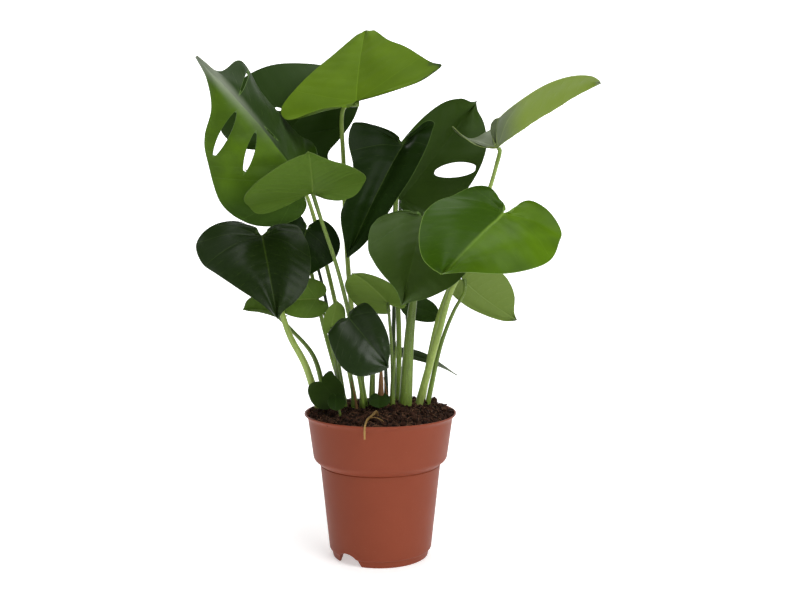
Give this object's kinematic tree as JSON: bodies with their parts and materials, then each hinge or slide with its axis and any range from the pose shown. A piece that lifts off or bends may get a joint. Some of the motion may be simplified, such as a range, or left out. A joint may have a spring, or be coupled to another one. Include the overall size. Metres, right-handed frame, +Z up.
{
  "type": "potted monstera plant",
  "caption": "Young split-leaf houseplant in a round tapered nursery pot, with heart-shaped leaves on long petioles that stand in the soil.",
  "frame": {"origin": "middle of the underside of the pot, on the ground", "axes": "+Z up, +X to the right as seen from the front, -Y to the front"},
  "size_m": [0.554, 0.3232, 0.7433],
  "materials": {
    "pot": "satin terracotta-coloured plastic",
    "soil": "loose dark brown potting mix",
    "dark_leaf": "glossy dark green leaf",
    "bright_leaf": "glossy bright green leaf",
    "young_leaf": "matte yellow-green leaf",
    "petiole": "satin green stalk",
    "sheath": "dry papery brown",
    "root": "dull olive-brown root"
  },
  "bodies": {
    "root": {"pot": "pot", "soil": "soil", "leaf_top": "young_leaf", "leaf_topRight": "young_leaf", "leaf_backLeft": "dark_leaf", "leaf_slotted": "dark_leaf", "leaf_frontRight": "bright_leaf", "leaf_midLeft": "young_leaf", "leaf_leftHeart": "dark_leaf", "leaf_shadowLeft": "dark_leaf", "leaf_centre": "dark_leaf", "leaf_backRight": "dark_leaf", "leaf_centreRight": "bright_leaf", "leaf_lowRight": "young_leaf", "leaf_smallLeft": "bright_leaf", "leaf_edgeLeft": "dark_leaf", "leaf_paleCentre": "young_leaf", "leaf_paleLow": "young_leaf", "leaf_frontRound": "dark_leaf", "leaf_shadowRight": "dark_leaf", "leaf_lowLeft": "dark_leaf", "leaf_lowFront": "dark_leaf", "leaf_lowCentre": "dark_leaf", "leaf_narrowRight": "dark_leaf", "petiole_top": "petiole", "petiole_topRight": "petiole", "petiole_backLeft": "petiole", "petiole_slotted": "petiole", "petiole_frontRight": "petiole", "petiole_midLeft": "petiole", "petiole_leftHeart": "petiole", "petiole_shadowLeft": "petiole", "petiole_centre": "petiole", "petiole_backRight": "petiole", "petiole_centreRight": "petiole", "petiole_lowRight": "petiole", "petiole_smallLeft": "petiole", "petiole_edgeLeft": "petiole", "petiole_paleCentre": "petiole", "petiole_paleLow": "petiole", "petiole_frontRound": "petiole", "petiole_shadowRight": "petiole", "petiole_lowLeft": "petiole", "petiole_lowFront": "petiole", "petiole_lowCentre": "petiole", "petiole_narrowRight": "petiole", "sheath_left": "sheath", "sheath_middle": "sheath", "aerial_root": "root"}
  },
  "joints": []
}
